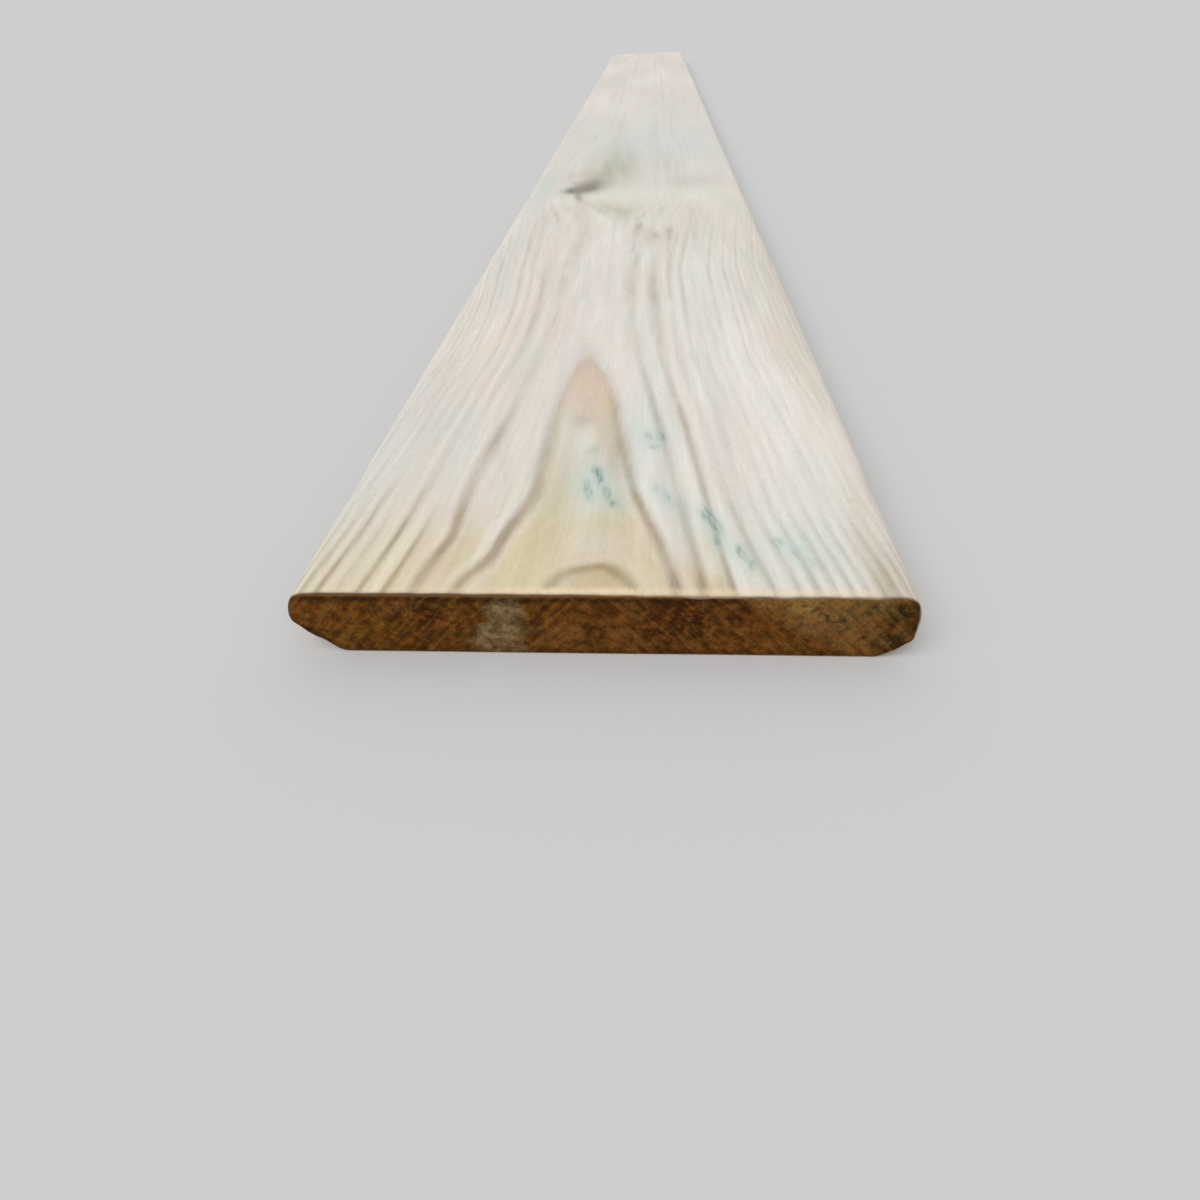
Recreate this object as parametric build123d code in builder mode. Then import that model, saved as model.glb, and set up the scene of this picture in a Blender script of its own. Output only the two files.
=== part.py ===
"""A planed softwood fence board: one plank with eased long edges and some wane left on its underside.

Sizes are in millimetres. X runs across the width, Y along the length and Z up through the thickness.
The origin is the middle of the underside. The board lies on its bark side with its heart side up, and
the end with the most wane faces -Y.
"""

import os
from math import sqrt

from build123d import *

# Finished size of the board
board_length = 1800.0
board_width = 150.0
board_thickness = 19.0

# Radii of the eased long edges
top_left_easing = 6.0
top_right_easing = 5.5
underside_easing = 5.0

# The log that the board was sawn from. It was a little too small for the board, so at the front end
# its own round surface passes inside each lower corner by the depth given. That is the wane. The log
# widens towards the back end, by this much of radius for each millimetre, so the wane runs out.
log_radius = 107.0
log_widening = 0.006
left_wane_depth = 6.8
right_wane_depth = 4.1

# The pith stands above the board, where it is the log's radius and the wane's depth from each corner.
left_reach = log_radius + left_wane_depth
right_reach = log_radius + right_wane_depth
pith_x = (left_reach**2 - right_reach**2) / (2 * board_width)
pith_z = sqrt(left_reach**2 - (board_width / 2 + pith_x) ** 2)

front_end = Plane.XZ.offset(board_length / 2)
back_end = Plane.XZ.offset(-board_length / 2)

with BuildPart() as fence_board:
    # The planed section: a rectangle with a radius of its own on each upper edge
    with BuildSketch(front_end) as section:
        Rectangle(board_width, board_thickness, align=(Align.CENTER, Align.MIN))
        lower_corners = section.vertices().group_by(Axis.Y)[0]
        upper_corners = section.vertices().group_by(Axis.Y)[-1].sort_by(Axis.X)
        fillet(lower_corners, radius=underside_easing)
        fillet(upper_corners[0], radius=top_left_easing)
        fillet(upper_corners[-1], radius=top_right_easing)
    extrude(amount=-board_length)

    # What lies outside the tapered log is missing, which leaves the wane on both lower edges.
    with BuildSketch(front_end):
        with Locations((pith_x, pith_z)):
            Circle(log_radius)
    with BuildSketch(back_end):
        with Locations((pith_x, pith_z)):
            Circle(log_radius + log_widening * board_length)
    loft(mode=Mode.INTERSECT)

fence_board.part.label = "fence_board"

os.makedirs("parts", exist_ok=True)
export_step(fence_board.part, "parts/fence_board.step")
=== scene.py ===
"""The looks of the fence board: its grain, stains, cut ends and wane, with a floor, soft light and camera.

The board is worked out in millimetres: across, from the middle of its width; along, from its front end,
which faces -Y; and depth, below its upper face. Blender's own lengths are in metres.
"""

from math import cos, pi, radians, sin, sqrt

import bpy
import numpy as np
from mathutils import Matrix, Vector


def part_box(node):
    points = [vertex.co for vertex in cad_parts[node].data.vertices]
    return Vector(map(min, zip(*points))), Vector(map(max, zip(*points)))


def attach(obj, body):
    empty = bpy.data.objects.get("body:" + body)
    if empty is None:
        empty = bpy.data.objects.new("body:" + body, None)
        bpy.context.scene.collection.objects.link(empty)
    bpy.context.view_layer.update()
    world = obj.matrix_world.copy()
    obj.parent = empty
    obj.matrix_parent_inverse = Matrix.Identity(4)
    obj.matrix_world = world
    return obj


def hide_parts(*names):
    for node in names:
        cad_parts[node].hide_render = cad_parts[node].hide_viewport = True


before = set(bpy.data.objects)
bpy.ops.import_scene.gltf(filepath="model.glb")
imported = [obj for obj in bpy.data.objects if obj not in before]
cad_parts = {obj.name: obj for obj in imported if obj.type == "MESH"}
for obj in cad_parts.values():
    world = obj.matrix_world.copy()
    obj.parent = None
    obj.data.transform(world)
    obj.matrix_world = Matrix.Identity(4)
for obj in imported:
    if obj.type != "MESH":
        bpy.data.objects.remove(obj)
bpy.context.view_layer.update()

MM = 0.001
board_low, board_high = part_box("fence_board")
WIDTH = (board_high.x - board_low.x) / MM
LENGTH = (board_high.y - board_low.y) / MM
THICKNESS = (board_high.z - board_low.z) / MM

# Radii of the eased long edges, and of the arris round both cut ends
TOP_LEFT_EASING = 6.0
TOP_RIGHT_EASING = 5.5
UNDERSIDE_EASING = 5.0
END_ARRIS = 0.45

# The log that the board was sawn from, which leaves the wane on both lower edges
LOG_RADIUS = 107.0
LOG_WIDENING = 0.006
LEFT_WANE_DEPTH = 6.8
RIGHT_WANE_DEPTH = 4.1
LEFT_REACH = LOG_RADIUS + LEFT_WANE_DEPTH
RIGHT_REACH = LOG_RADIUS + RIGHT_WANE_DEPTH
PITH_ACROSS = (LEFT_REACH**2 - RIGHT_REACH**2) / (2 * WIDTH)
PITH_HEIGHT = sqrt(LEFT_REACH**2 - (WIDTH / 2 + PITH_ACROSS) ** 2)

# How wide the wane's border is rounded, and how deep the flutes of its surface go
WANE_SOFTNESS = 0.9
WANE_FLUTES = 0.45

# The mesh: columns round each half of the section, rows along the board and rows over each end
COLUMNS = 128
ROWS = 345
END_ROWS = 18

# Numbers of the board's two materials
WOOD = 0
END_GRAIN = 1

# The material map, in its own units: its side, its margin, the gap between its parts, the length of its
# four strips, and how large a millimetre of each cut end is
MAP_SIDE = 680.0
MAP_MARGIN = 4
MAP_GAP = 6
MAP_STRIP = 540.0
FRONT_END_SCALE = 4.0
FAR_END_SCALE = 2.0

# The photograph's camera: its place in millimetres from the middle of the front end's upper edge, its
# angles in degrees, and its focal length as a share of the frame's width
CAMERA_PLACE = (12.82, -121.55, 104.76)
TURNED_LEFT = 5.34
TILTED_DOWN = 40.96
ROLLED = -3.11
FOCAL_SHARE = 700 / 1200

# The light: the sky's strength, and the lamp's strength, softness in degrees and direction
SKY_STRENGTH = 0.62
LAMP_STRENGTH = 1.5
LAMP_SOFTNESS = 50
LAMP_FROM = (-0.55, -0.6, 1.15)

# The floor: its grey, and how many metres it reaches from its middle
FLOOR_GREY = 205.6
FLOOR_REACH = 400.0


def srgb(red, green, blue):
    """A linear colour, with its alpha, from the 0 to 255 values that a screen shows."""
    values = np.array([red, green, blue]) / 255
    linear = np.where(values <= 0.04045, values / 12.92, ((values + 0.055) / 1.055) ** 2.4)
    return (*linear, 1.0)


def waves(seed, across, along, wide, long):
    """A smooth random pattern of about -1 to 1, made of plane waves as wide and as long as given."""
    count = 14
    widest_swing = 1.6 * sqrt(count / 2)
    random = np.random.default_rng(seed)
    total = 0.0
    for _ in range(count):
        angle, phase = random.uniform(0, 2 * pi, 2)
        size = random.uniform(0.7, 1.5)
        turns = size * (across * cos(angle) / wide + along * sin(angle) / long)
        total = total + np.sin(2 * pi * turns + phase)
    return total / widest_swing


def smooth_step(value, start, end):
    """0 before start, 1 after end, and a smooth rise between them."""
    share = np.clip((value - start) / (end - start), 0, 1)
    return share * share * (3 - 2 * share)


def soft_side(value, softness):
    """0 where the value is well below zero, 1 where it is well above, and a soft change between them."""
    return 0.5 + 0.5 * np.tanh(value / softness)


def spot(across, along, middle, size, lean=0.0):
    """1 at the middle of a soft oval spot, falling to 0 outside it. Lean shears it along the grain."""
    u = (across - middle[0] - lean * (along - middle[1])) / size[0]
    v = (along - middle[1]) / size[1]
    return np.exp(-(u * u + v * v))


def spots(across, along, table):
    """All the soft spots of a table added up. Its rows say strength, middle, size and perhaps lean."""
    return sum(strength * spot(across, along, *shape) for strength, *shape in table)


def upper_part(depth):
    """1 on the upper face and the sides' upper halves, 0 on the underside, which is left plain."""
    return smooth_step(depth, 14, 8)


# The knot, a grey bruise in the grain with painted shadow in its hollow, well behind the front end
KNOT_MIDDLE = (-38.0, 446.0)
KNOT_LEAN = 0.55

# How far the grain left of the middle has leant outwards at the knot
GRAIN_LEAN = 20.0

# How softly the grain left of the middle passes into the grain right of it
MIDDLE_SOFTNESS = 3.0

# Places along the board, with what shapes the growth rings there: where their middle lies across the
# upper face, its ring number, and how many square millimetres of distance from it make a ring, to the
# left and to the right
RING_MIDDLE = (
    (0, 1), (12, 0), (45, -3), (80, -6.3), (110, -9), (141, -12), (250, -12), (350, -4), (420, -2),
)
RINGS_THERE = (
    (0, -0.30), (12, 0.01), (25, 0.36), (35, 0.58), (45, 0.69), (65, 0.73), (80, 0.76), (100, 0.81),
    (120, 0.9), (136, 1.0), (180, 1.15), (250, 1.3), (310, 1.2), (345, 1.0), (372, 0.55), (395, -0.1),
    (430, -0.7), (520, -0.9), (800, -0.78), (1150, -0.9), (1500, -0.8), (1800, -0.88),
)
LEFT_PITCH = (
    (0, 915), (20, 890), (27, 875), (40, 880), (60, 820), (80, 720), (100, 600), (120, 480), (141, 370),
)
RIGHT_PITCH = (0, 268), (18, 316), (30, 380), (45, 410)
OUTER_RIGHT_PITCH = 410.0

# How many more rings lie within this reach to the left, because they crowd to that edge
LEFT_CROWDING = (0, 0.4), (27, 0.6), (40, 0.65), (60, 1.1), (80, 1.35)
CROWDING_REACH = 50.0

# Millimetres to a ring with depth, where the pith above makes arcs of them that open upwards, and along
# the plain underside
DEPTH_PITCH = 4.6
UNDERSIDE_PITCH = 2500.0

# Where the ring lines bend on their way: how far to the left, middle, size
RING_BENDS = (
    (-3.0, (-13, 2), (6, 7)),
    (2.5, (-38, 32), (8, 45)),
    (-1.7, (-28.5, 15), (6, 7)),
    (-1.8, (-39, 22.5), (5, 9)),
    (0.7, (-37, 55), (5, 19)),
    (2.2, (6, 235), (8, 50)),
)


def eased_curve(points, along, softness=7.0):
    """The value at each place of the curve through the points, with its corners rounded off."""
    margin = 60.0
    grid = np.arange(-margin, LENGTH + margin + 1, 1.0)
    values = np.interp(grid, *zip(*points))
    reach = np.arange(-int(3 * softness), int(3 * softness) + 1)
    bell = np.exp(-0.5 * (reach / softness) ** 2)
    padded = np.pad(values, len(reach) // 2, mode="edge")
    return np.interp(along, grid, np.convolve(padded, bell / bell.sum(), mode="valid"))


def left_lean(across, along):
    """How far the grain left of the middle has leant outwards on its way to the knot."""
    rising = smooth_step(along, 165, 400) * smooth_step(along, 950, 470)
    return GRAIN_LEAN * rising * smooth_step(across, -8, -62)


def ring_number(across, along, depth):
    """How many growth rings lie inside each point, with the upper face's first arch as ring 0."""
    upper = upper_part(depth)
    across = across + upper * left_lean(across, along)
    off = across - eased_curve(RING_MIDDLE, along) + spots(across, along, RING_BENDS)
    square = off * off
    crowding = eased_curve(LEFT_CROWDING, along) * (square / CROWDING_REACH**2) ** 2
    to_left = square / eased_curve(LEFT_PITCH, along) + crowding
    right_pitch = eased_curve(RIGHT_PITCH, along)
    right_pitch = right_pitch + (OUTER_RIGHT_PITCH - right_pitch) * smooth_step(square, 500, 2000)
    to_right = square / right_pitch
    right = soft_side(off, MIDDLE_SOFTNESS)
    on_top = eased_curve(RINGS_THERE, along, 3.0)
    below = RINGS_THERE[0][1] + along / UNDERSIDE_PITCH
    there = upper * on_top + (1 - upper) * below
    rings = there + (1 - right) * to_left + right * to_right + depth / DEPTH_PITCH
    rings = rings + 0.02 * waves(3, across, along, 30, 150) + 0.008 * waves(4, across, along, 10, 50)
    swelling = 1.1 * spot(across, along, KNOT_MIDDLE, (15, 26), KNOT_LEAN)
    return rings + swelling * upper


# Tints of the planed wood
PINK = srgb(224, 209, 201)
CREAM = srgb(207, 188, 150)
TAN = srgb(211, 198, 163)
HONEY = srgb(203, 184, 142)
ROSE = srgb(213, 194, 176)
BUFF = srgb(207, 190, 162)
TEAL = srgb(210, 219, 211)
CHALK = srgb(232, 227, 220)
GREY = srgb(208, 212, 207)
OLIVE = srgb(206, 202, 182)
LEMON = srgb(221, 223, 207)
DUSK = srgb(170, 173, 148)
BLUSH = srgb(216, 203, 194)
SAND = srgb(217, 213, 204)
IVORY = srgb(219, 205, 166)
STRAW = srgb(203, 185, 142)
STONE = srgb(213, 206, 193)
ASH = srgb(206, 204, 198)
UMBER = srgb(196, 184, 168)
FROST = srgb(219, 225, 217)
MOSS = srgb(152, 158, 122)
KHAKI = srgb(194, 188, 152)
GOLD = srgb(212, 198, 160)
APRICOT = srgb(222, 201, 177)
SHELL = srgb(223, 205, 194)
REED = srgb(218, 213, 190)
BARK = srgb(176, 165, 134)
TAWNY = srgb(184, 168, 138)
SHADE = srgb(187, 184, 173)
MINT = srgb(206, 228, 219)
LINEN = srgb(234, 222, 206)
SAGE = srgb(196, 206, 190)

# Soft patches of tint on the upper face, in the order they are laid on: colour, strength, middle, size. The
# rows so marked paint shade along the eased right edge and a green reflection along the left edge.
PATCHES = (
    (IVORY, 0.9, (-50, 2), (40, 34)),
    (STRAW, 0.9, (-39, 12), (7, 18)),
    (CREAM, 0.9, (22, 0), (16, 16)),
    # Painted shade along the eased right edge near the front end
    (BUFF, 0.5, (70, 0), (12, 8)),
    (TAWNY, 0.5, (21, 3.5), (10, 2.5)),
    (CHALK, 1.0, (48, 110), (40, 90)),
    (SAND, 0.6, (-45, 150), (35, 90)),
    (STONE, 1.0, (-29, 70), (5, 28)),
    (PINK, 0.3, (-28, 40), (6, 14)),
    # Painted green reflection along the left edge
    (GREY, 0.6, (-68, 66), (8, 40)),
    (CHALK, 0.4, (10, 280), (70, 80)),
    (OLIVE, 0.35, (24, 320), (26, 55)),
    (FROST, 0.4, (30, 235), (30, 70)),
    (GREY, 0.9, (10, 640), (90, 160)),
    (LEMON, 0.9, (15, 412), (60, 20)),
    (DUSK, 0.52, (-22, 500), (13, 40)),
    (DUSK, 0.5, (-15, 545), (15, 70)),
    (DUSK, 0.35, (-7, 508), (9, 48)),
    (MOSS, 0.5, (-27, 487), (7, 18)),
    (UMBER, 0.5, (-35, 492), (6, 22)),
    (ASH, 0.8, (22, 530), (15, 60)),
    (OLIVE, 0.5, (0, 375), (45, 22)),
    (BLUSH, 0.3, (-50, 480), (8, 35)),
    # Painted green reflection along the left edge
    (GREY, 0.5, (-62, 440), (9, 60)),
    (FROST, 0.8, (48, 24), (22, 30)),
    (TEAL, 0.7, (12, 76), (7, 26)),
    (TEAL, 0.6, (15, 44), (7, 14)),
    (TEAL, 0.5, (-48, 92), (5, 22)),
    (PINK, 0.8, (-42, 110), (8, 18)),
    (PINK, 0.8, (64, 152), (8, 26)),
    (PINK, 0.5, (-20, 230), (30, 60)),
    (PINK, 0.5, (36, 70), (10, 40)),
    (PINK, 0.6, (-48, 300), (14, 60)),
    (GREY, 0.5, (8, 90), (3, 16)),
    (ASH, 0.5, (14, 54), (8, 12)),
    (OLIVE, 0.4, (-25, 62), (4, 18)),
    (FROST, 0.5, (19, 235), (11, 55)),
    (CHALK, 0.4, (-52, 190), (6, 30)),
    (CHALK, 0.5, (-15, 200), (5, 35)),
    (CHALK, 0.4, (40, 200), (6, 25)),
    (CHALK, 0.7, (50, 380), (9, 14)),
    (CHALK, 0.5, (-50, 402), (7, 14)),
    (ASH, 0.9, (41, 456), (18, 17)),
    (OLIVE, 0.3, (-30, 350), (8, 20)),
    (OLIVE, 0.3, (40, 325), (9, 22)),
    # Painted shade along the eased right edge
    (OLIVE, 0.6, (68, 250), (6, 120)),
    (CHALK, 0.7, (56, 3), (6, 5)),
    # Painted shade along the eased right edge
    (BARK, 0.7, (67.5, 5), (3.5, 16)),
    (KHAKI, 0.45, (-24.5, 43), (2.2, 12)),
    (BARK, 0.4, (-39.3, 18), (1.4, 6)),
    (GOLD, 0.8, (22.3, 7), (2.4, 7)),
    (CREAM, 0.8, (28.3, 4), (3, 5)),
    (GOLD, 0.6, (27, 21), (1.6, 6)),
    (DUSK, 0.55, (22.3, 37), (1.5, 10)),
    (MINT, 0.7, (50, 20), (4.5, 7)),
    (FROST, 0.4, (54, 9), (6, 6)),
    (CHALK, 0.5, (50, 36), (5, 8)),
    # These three rows paint shade along the eased right edge
    (UMBER, 0.4, (64.5, 22), (2.5, 10)),
    (KHAKI, 0.35, (67.5, 37), (3, 16)),
    (KHAKI, 0.3, (67, 115), (3.5, 40)),
    (KHAKI, 0.2, (61, 145), (3, 18)),
    (LINEN, 0.6, (-48, 155), (14, 30)),
    (CHALK, 0.4, (15, 130), (3, 10)),
    (GREY, 0.5, (-29, 88), (3, 20)),
    (SHADE, 0.3, (55, 200), (3, 14)),
    # These two rows paint a green reflection along the left edge
    (GREY, 0.5, (-62, 310), (8, 80)),
    (SAGE, 0.4, (-63, 480), (7, 60)),
    (CHALK, 0.5, (-24, 411), (6, 9)),
    (CHALK, 0.35, (50, 505), (9, 25)),
    (CHALK, 0.4, (42, 402), (8, 9)),
    (UMBER, 0.3, (-45, 490), (6, 15)),
)

# The same inside the pointed arch, and then in its rosy point
ARCH_PATCHES = (
    (OLIVE, 0.8, (-5, 62), (14, 26)),
    (STRAW, 0.6, (-16.5, 58), (4.5, 30)),
    (BUFF, 0.9, (3, 84), (5, 26)),
    (BLUSH, 0.6, (1, 20), (9, 6)),
    (TEAL, 0.8, (-3, 50), (8, 13)),
    (CHALK, 0.6, (-8, 73), (3, 8)),
    (KHAKI, 0.4, (-13, 45), (6, 14)),
    (KHAKI, 0.35, (-15.5, 51), (3, 9)),
    (UMBER, 0.8, (3, 64), (2.6, 12)),
    (DUSK, 0.3, (3, 64), (3, 10)),
)
POINT_PATCHES = (
    (HONEY, 0.3, (2.5, 84), (3.5, 16)),
    (UMBER, 0.5, (-1, 84), (3, 9)),
    (GOLD, 0.6, (-2, 99), (3, 10)),
    (UMBER, 1.0, (-10, 88), (4.5, 4.5)),
    (REED, 1.0, (-17, 80), (3, 12)),
    (KHAKI, 0.4, (-0.5, 84), (3.2, 10)),
    (APRICOT, 0.5, (-8, 110), (4, 7)),
    (SHELL, 0.5, (-14.5, 106), (3.5, 13)),
    (UMBER, 0.4, (-11, 134), (3.5, 5)),
)

# Soft strokes where rings graze the surface: how many times wider they are along the board than across
# it, and then each one's colour, strength, both ends and half width
STROKE_STRETCH = 2.4
STROKES = (
    (OLIVE, 0.6, (-30, 397), (0, 362), 6.5),
    (LEMON, 0.8, (-24, 363), (8, 337), 5.0),
    (DUSK, 0.6, (-17.5, 378), (-4, 361), 4.8),
    (SHADE, 0.6, (8.5, 366), (6.5, 338), 1.6),
    (BARK, 0.4, (-20.8, 37), (-19.3, 58), 2.2),
    (SHADE, 0.75, (4.5, 352), (2.4, 282), 1.8),
    (SHADE, 0.6, (22.5, 308), (20.5, 205), 1.7),
    (SHADE, 0.3, (13.5, 165), (13, 240), 1.4),
    (SHADE, 0.4, (-4, 360), (-17, 375), 4.0),
)

# Dark green-blue flecks of preservative: strength, middle, size
FLECKS = (
    (1.0, (-2.4, 54.5), (1.3, 3.6)), (0.8, (-5.2, 48), (0.9, 2.8)), (0.8, (-4, 43), (0.9, 2.6)),
    (0.8, (-1, 49), (0.8, 3.4)), (0.8, (1, 43.5), (0.9, 3.0)), (0.9, (3, 38.5), (1.0, 1.8)),
    (0.4, (-4.5, 68), (1.1, 2.6)), (0.55, (12.2, 76.5), (1.0, 2.6)), (0.75, (16.4, 76), (1.1, 3.0)),
    (0.5, (14, 69.5), (1.6, 1.5)), (0.4, (14.6, 46), (0.9, 3)), (0.5, (17.6, 41.5), (0.9, 3)),
    (0.4, (20, 37), (0.8, 2.5)), (1.0, (27.8, 33), (1.3, 3.6)), (0.8, (29.8, 27.5), (1.3, 3.4)),
    (0.7, (29.5, 21), (0.9, 3)), (0.8, (35, 17), (1.2, 2.6)), (0.7, (37, 12), (0.8, 2.2)),
    (0.5, (44.5, 21), (1.4, 1.8)), (0.4, (48, 16.5), (1.0, 2.4)), (0.4, (51, 12.5), (0.9, 2.0)),
)
FLECK_LEAN = -0.14

# Middles of the marks where the surface just grazes a ring
RING_GRAZES = ((5.5, 331), (14.5, 313), (23, 320))

# How far from the front end the pointed arch and the small one before it reach, and how far sideways
ARCH_LENGTH = 145
SMALL_ARCH_LENGTH = 20
ARCH_REACH = 40


def mixed(colours, other, share):
    """The colours, each moved towards the other by its share."""
    return colours + (other - colours) * np.clip(share, 0, 1)[:, None]


def patched(colours, patches, share, across, along):
    """The colours with soft patches of tint on them, as strong as the share lets them be."""
    for colour, strength, *shape in patches:
        colours = mixed(colours, colour, share * strength * spot(across, along, *shape))
    return colours


def stroke(across, along, start, end, half_width):
    """1 on the line between two points of the upper face, falling softly to 0 beside it."""
    wide = end[0] - start[0]
    long = (end[1] - start[1]) / STROKE_STRETCH
    from_start = (along - start[1]) / STROKE_STRETCH
    share = ((across - start[0]) * wide + from_start * long) / (wide**2 + long**2)
    share = np.clip(share, 0, 1)
    off = np.hypot(across - start[0] - share * wide, from_start - share * long)
    return np.exp(-((off / half_width) ** 2))


def face_tint(across, along, depth, rings):
    """The base colour of the planed wood at each point, before its grain."""
    upper = upper_part(depth)
    colours = np.tile(SAND, (len(across), 1))
    colours = mixed(colours, CHALK, 0.3 + 0.35 * waves(11, across, along, 60, 500))
    colours = mixed(colours, PINK, 0.15 + 0.35 * waves(12, across, along, 25, 260))
    colours = patched(colours, PATCHES, upper, across, along)
    for colour, strength, *line in STROKES:
        colours = mixed(colours, colour, upper * strength * stroke(across, along, *line))

    near_middle = upper * (np.abs(across) < ARCH_REACH)
    inside = near_middle * smooth_step(rings, 1.03, 0.97) * (along < ARCH_LENGTH)
    colours = mixed(colours, TAN, inside * smooth_step(along, 75, 25))
    colours = patched(colours, ARCH_PATCHES, inside, across, along)
    inside_small = near_middle * smooth_step(rings, 0.04, -0.04) * (along < SMALL_ARCH_LENGTH)
    colours = mixed(colours, HONEY, inside_small)
    colours = mixed(colours, ROSE, inside * smooth_step(along, 74, 94))
    return patched(colours, POINT_PATCHES, inside, across, along)


# Ring lines on the upper face: ring, how dark its line is at the front end, and how far back it fades
LEFT_LINES = (
    (0, 0.6, 200), (1, 1.05, 95), (2, 1.15, 88), (3, 1.2, 28), (4, 0.85, 56), (5, 0.4, 30),
    (6, 0.95, 42), (7, 0.75, 34), (9, 0.7, 34),
)
RIGHT_LINES = (
    (0, 0.6, 200), (1, 1.0, 130), (2, 0.9, 130), (3, 0.95, 140), (4, 0.85, 42), (5, 0.8, 30),
    (8, 0.7, 26), (14, 0.65, 20),
)

# Places along the board, with how dark every ring line is there at least
FAINT_LINES = (
    (0, 0.16), (120, 0.22), (240, 0.32), (320, 0.24), (345, 0.06), (450, 0.05), (750, 0.08), (1800, 0.13),
)

# How dark the lines of the plain underside are
UNDERSIDE_LINE = 0.18


def line_strength(across, along, depth, rings):
    """How dark each ring's line is: strong on the widest rings near the front, faint elsewhere."""
    nearest = np.rint(rings)
    right = soft_side(across, MIDDLE_SOFTNESS)
    fresh = 0.0
    for table, share in ((LEFT_LINES, 1 - right), (RIGHT_LINES, right)):
        ring, front, reach = np.array(table).T
        fading = np.exp(-((along / np.interp(nearest, ring, reach)) ** 2))
        fresh = fresh + np.interp(nearest, ring, front) * fading * share
    fresh = fresh * (1 - 0.5 * spot(across, along, (20, 52), (5, 26)))
    ring_to_ring = np.clip(1 + 0.75 * waves(22, 10 * nearest, along, 17, 260), 0.15, 1.9)
    outwards = np.interp(rings, (3, 7), (1.0, 0.55))
    faint = np.interp(along, *zip(*FAINT_LINES)) * ring_to_ring * outwards
    faint = faint + 0.22 * spot(across, along, (-47, 365), (12, 34))
    uneven = 1 + 0.25 * waves(21, across, along, 40, 60)
    upper = upper_part(depth)
    return (np.maximum(fresh, faint) * upper + UNDERSIDE_LINE * (1 - upper)) * uneven


def line_softness(across, along, rings):
    """How many times wider than its front end each ring line is. The first ring blurs soonest."""
    nearest = np.rint(rings)
    left = smooth_step(across, 5, -5)
    first = (nearest == 1) * smooth_step(along + 30 * left, 45, 85)
    first = first + 0.7 * (nearest == 2) * left * smooth_step(along, 20, 36)
    outer = 0.35 * (nearest > 2.5) * smooth_step(along, 60, 30)
    return 1 + 0.7 * first - outer + 2.2 * smooth_step(along, 110, 300)


def streak_strength(across, along):
    """How strong the wood's streaks of colour are: weaker inside the pointed arch and far back."""
    far_back = smooth_step(along, 330, 450)
    in_arch = spot(across, along, (-9, 105), (10, 28))
    return (1 - 0.55 * far_back) * (1 - 0.75 * in_arch)


def soak_reach(across, along):
    """How far the cut end's dark stain soaks over its arris."""
    side = np.where(along < LENGTH / 2, across, across * 0.5 + 20)
    return 0.62 - 0.4 * smooth_step(side, -30, 50) + 0.12 * waves(42, across, along * 0, 9, 9)


# Places across the board, with how strong the painted highlight on the crushed fibres along the end arrises
# is there
ARRIS_HIGHLIGHT_STRENGTH = (
    (-75, 0.1), (-45, 0.15), (-30, 0.4), (-15, 1.0), (8, 1.0), (14, 0.6), (62, 0.55), (66, 0.0),
)

# The knot's grey bruise, partly its own grey and partly painted shadow in its shallow hollow, with its dark
# tip to the left: strength, middle, size, lean
KNOT_SPOTS = (
    (1.25, (-42.3, 437.5), (6.5, 10), 0.1),
    (0.5, (-30, 441), (8, 9)),
    (0.75, (-37, 415), (2.4, 15), -0.14),
    (0.33, (-33, 429), (7, 9)),
    (0.87, (-30, 453), (10, 20), 0.1),
    (0.2, (-26, 466), (9, 14)),
    (0.25, (-40, 458), (6, 10)),
)
DEEPEST_KNOT_SHADE = 1.1


def knot_shade(across, along):
    """How deep the knot's grey bruise and the painted shadow in its hollow are, from 0 to 1."""
    return np.clip(spots(across, along, KNOT_SPOTS), 0, DEEPEST_KNOT_SHADE) / DEEPEST_KNOT_SHADE


def ring_grazes(across, along):
    """Where the surface just grazes a ring: pale brown U-shaped marks with a darker middle."""
    marks = 0.0
    for middle in RING_GRAZES:
        bottom = middle[1] - 4
        rim = np.hypot((across - middle[0]) / 3.4, (along - bottom) / 14)
        in_front = soft_side(bottom - along, 8)
        marks = marks + 0.35 * in_front * np.exp(-(((rim - 0.8) / 0.5) ** 2))
        marks = marks + spot(across, along, middle, (2.3, 9.5))
    return np.clip(marks, 0, 1)


def fleck_depth(across, along):
    """How strongly each point is marked by a preservative fleck."""
    flecks = [(*fleck, FLECK_LEAN) for fleck in FLECKS]
    return np.clip(spots(across, along, flecks), 0, 1)


def fleck_haze(across, along):
    """The pale green-blue haze round the flecks."""
    hazes = [
        (0.35 + 0.35 * strength, middle, (wide + 2.4, long + 3.5), FLECK_LEAN)
        for strength, middle, (wide, long) in FLECKS
    ]
    return np.clip(spots(across, along, hazes), 0, 1)


def follow_grain(across, along, depth):
    """The distance across the board, bent as the grain is: by the front arch and round the knot."""
    share = np.clip(np.abs(across) / (WIDTH / 2), 0, 1)
    drawn = across * (1 - 0.32 * np.exp(-along / 75) * (1 - share**2))
    round_knot = left_lean(across, along) + 5 * spot(across, along, KNOT_MIDDLE, (16, 26))
    return drawn + 1.5 * waves(31, across, along, 90, 300) + upper_part(depth) * round_knot


# Colours of the stained cut ends
END_BROWN = srgb(88, 54, 9)
END_ORANGE = srgb(98, 57, 12)
END_RED = srgb(92, 44, 18)
END_RUST = srgb(74, 36, 8)
END_OLIVE = srgb(92, 68, 8)
END_AMBER = srgb(86, 50, 2)
END_CLAY = srgb(104, 66, 34)
END_DARK = srgb(54, 28, 6)
END_LIGHT = srgb(124, 98, 52)
END_PALE = srgb(150, 117, 66)
END_PINK = srgb(122, 84, 52)
END_DRAB = srgb(96, 80, 46)
END_UMBER = srgb(43, 42, 14)

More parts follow.
